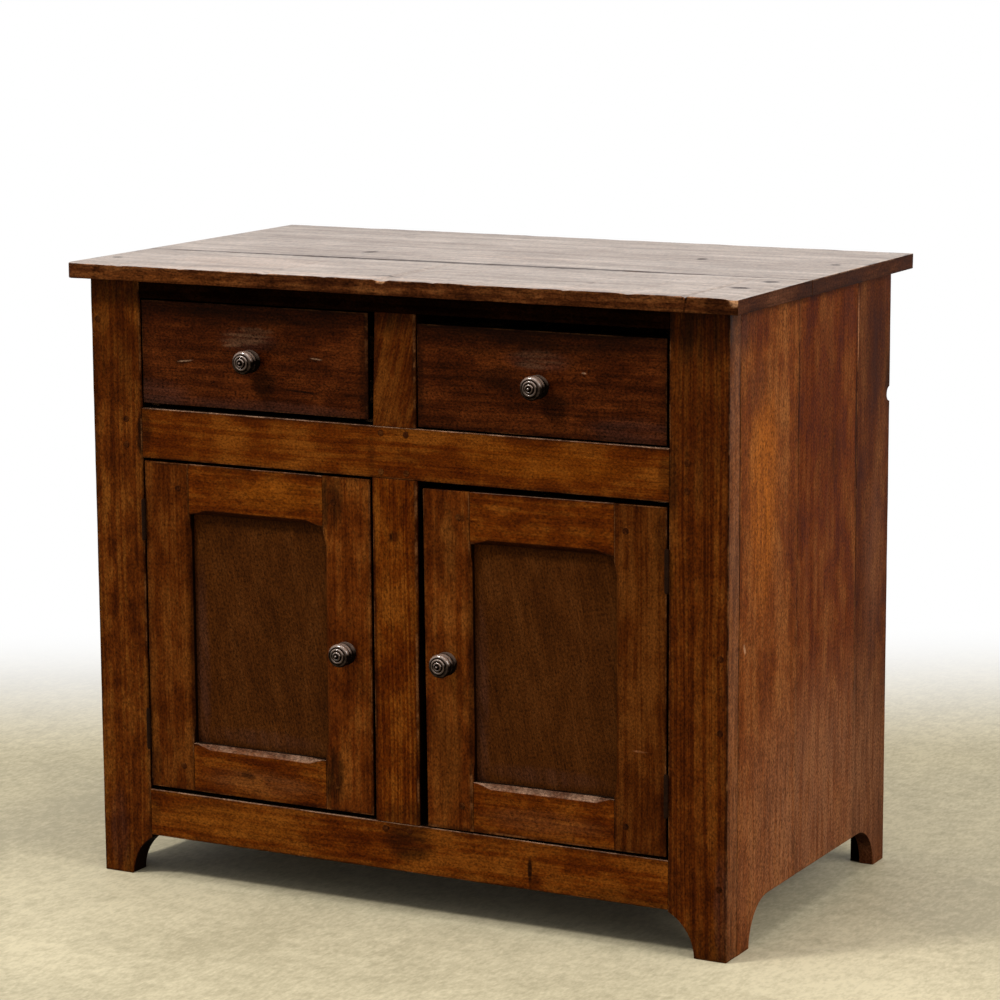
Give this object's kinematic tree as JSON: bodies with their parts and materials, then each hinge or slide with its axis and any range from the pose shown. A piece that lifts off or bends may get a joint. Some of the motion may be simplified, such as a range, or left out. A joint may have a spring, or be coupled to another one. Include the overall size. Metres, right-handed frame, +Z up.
{
  "type": "buffet cabinet",
  "caption": "Old country buffet cupboard: plank top, pegged face frame, side by side drawers over panelled doors with stopped chamfers, turned knobs and cut-out feet.",
  "frame": {"origin": "on the floor, under the middle of the cupboard's outline with drawers and doors shut", "axes": "+Z up, the front faces -Y, +X to the right of a person who faces the front"},
  "size_m": [0.955, 0.5734, 0.82],
  "materials": {
    "top_wood": "old brown stain, waxed and worn, satin",
    "frame_wood": "warm brown stain, worn on the arrises, satin",
    "side_wood": "red brown stain, satin",
    "door_wood": "warm brown stain, worn on the arrises, satin",
    "panel_wood": "dull grey brown stain, brushed",
    "drawer_front_wood": "dark red brown stain, satin",
    "drawer_box_wood": "bare, aged",
    "inside_wood": "bare, aged",
    "peg_wood": "dark end grain",
    "dark_brass": "dark patina, rubbed on the rims",
    "hinge_iron": "dark, dull"
  },
  "bodies": {
    "left_drawer": {"left_drawer_back": "drawer_box_wood", "left_drawer_bottom": "drawer_box_wood", "left_drawer_front": "drawer_front_wood", "left_drawer_knob": "dark_brass", "left_drawer_left_side": "drawer_box_wood", "left_drawer_right_side": "drawer_box_wood"},
    "right_drawer": {"right_drawer_back": "drawer_box_wood", "right_drawer_bottom": "drawer_box_wood", "right_drawer_front": "drawer_front_wood", "right_drawer_knob": "dark_brass", "right_drawer_left_side": "drawer_box_wood", "right_drawer_right_side": "drawer_box_wood"},
    "left_door": {"left_door_bottom_rail": "door_wood", "left_door_hinge_leaves": "hinge_iron", "left_door_hinge_stile": "door_wood", "left_door_knob": "dark_brass", "left_door_lock_stile": "door_wood", "left_door_panel": "panel_wood", "left_door_pegs": "peg_wood", "left_door_top_rail": "door_wood"},
    "right_door": {"right_door_bottom_rail": "door_wood", "right_door_hinge_leaves": "hinge_iron", "right_door_hinge_stile": "door_wood", "right_door_knob": "dark_brass", "right_door_lock_stile": "door_wood", "right_door_panel": "panel_wood", "right_door_pegs": "peg_wood", "right_door_top_rail": "door_wood"},
    "case": {"back_left_board": "inside_wood", "back_middle_board": "inside_wood", "back_right_board": "inside_wood", "bottom_rail": "frame_wood", "centre_guide": "inside_wood", "centre_runner": "inside_wood", "cleats": "inside_wood", "cupboard_floor": "inside_wood", "door_divider": "frame_wood", "drawer_divider": "frame_wood", "frame_pegs": "peg_wood", "hinge_frame_leaves": "hinge_iron", "hinge_pins": "hinge_iron", "left_guide": "inside_wood", "left_rear_batten": "inside_wood", "left_runner": "inside_wood", "left_side_front_board": "side_wood", "left_side_middle_board": "side_wood", "left_side_rear_board": "side_wood", "left_stile": "frame_wood", "middle_rail": "frame_wood", "right_guide": "inside_wood", "right_rear_batten": "inside_wood", "right_runner": "inside_wood", "right_side_front_board": "side_wood", "right_side_middle_board": "side_wood", "right_side_rear_board": "side_wood", "right_stile": "frame_wood", "shelf": "inside_wood", "top_front_board": "top_wood", "top_rail": "frame_wood", "top_rear_board": "top_wood"}
  },
  "joints": [
    {"name": "left_drawer_slide", "type": "slide", "parent": "case", "child": "left_drawer", "axis": [0, -1, 0], "range_m": [0, 0.36]},
    {"name": "right_drawer_slide", "type": "slide", "parent": "case", "child": "right_drawer", "axis": [0, -1, 0], "range_m": [0, 0.36]},
    {"name": "left_door_hinge", "type": "hinge", "parent": "case", "child": "left_door", "pos_m": [-0.3795, -0.25703, 0.343], "axis": [0, 0, -1], "range_deg": [0, 170]},
    {"name": "right_door_hinge", "type": "hinge", "parent": "case", "child": "right_door", "pos_m": [0.3755, -0.25703, 0.343], "axis": [0, 0, 1], "range_deg": [0, 170]}
  ]
}
